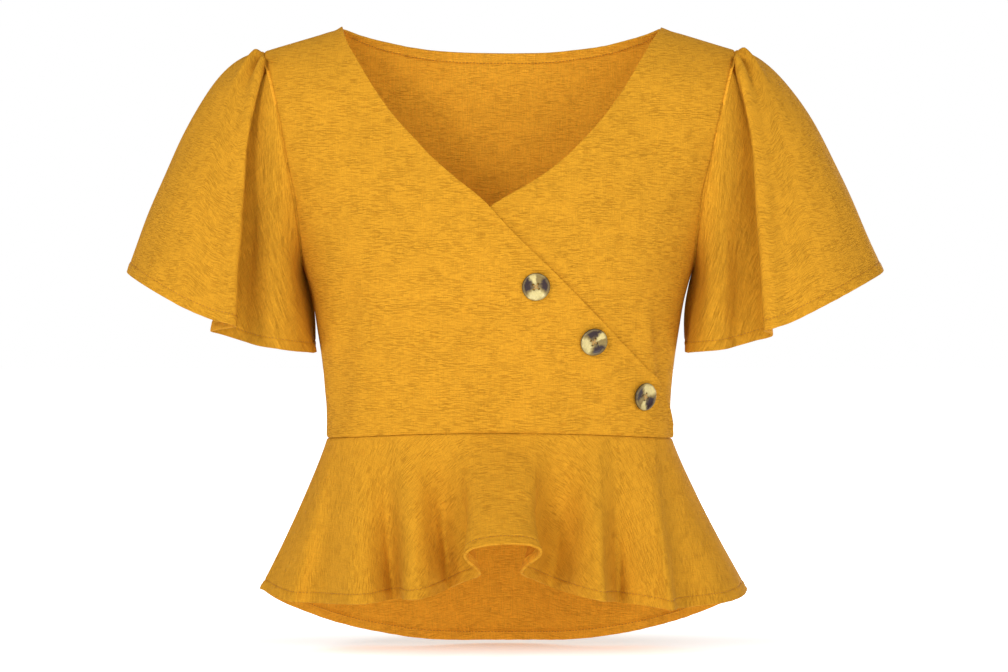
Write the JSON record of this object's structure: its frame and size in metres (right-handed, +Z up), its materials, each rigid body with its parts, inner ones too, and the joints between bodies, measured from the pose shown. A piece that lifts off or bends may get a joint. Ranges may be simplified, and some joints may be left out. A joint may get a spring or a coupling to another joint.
{
  "type": "blouse",
  "caption": "Short-sleeved wrap-front blouse with a V neck, flutter sleeves, a fluted high-low peplum and horn buttons along the lap, filled out as worn.",
  "frame": {"origin": "midway between the two high points of the shoulders at the neck, where the wearer's neck and shoulders carry the blouse", "axes": "+Z up, the front faces -Y, +X to the wearer's left"},
  "size_m": [0.6691, 0.338, 0.5508],
  "materials": {
    "cloth": "matt crepe jersey with a fine slub, mustard",
    "buttons": "polished, streaked like horn"
  },
  "bodies": {
    "root": {"front_over": "cloth", "front_under": "cloth", "back": "cloth", "sleeve_right": "cloth", "sleeve_left": "cloth", "peplum_front": "cloth", "peplum_back": "cloth", "button_1": "buttons", "button_2": "buttons", "button_3": "buttons"}
  },
  "joints": []
}
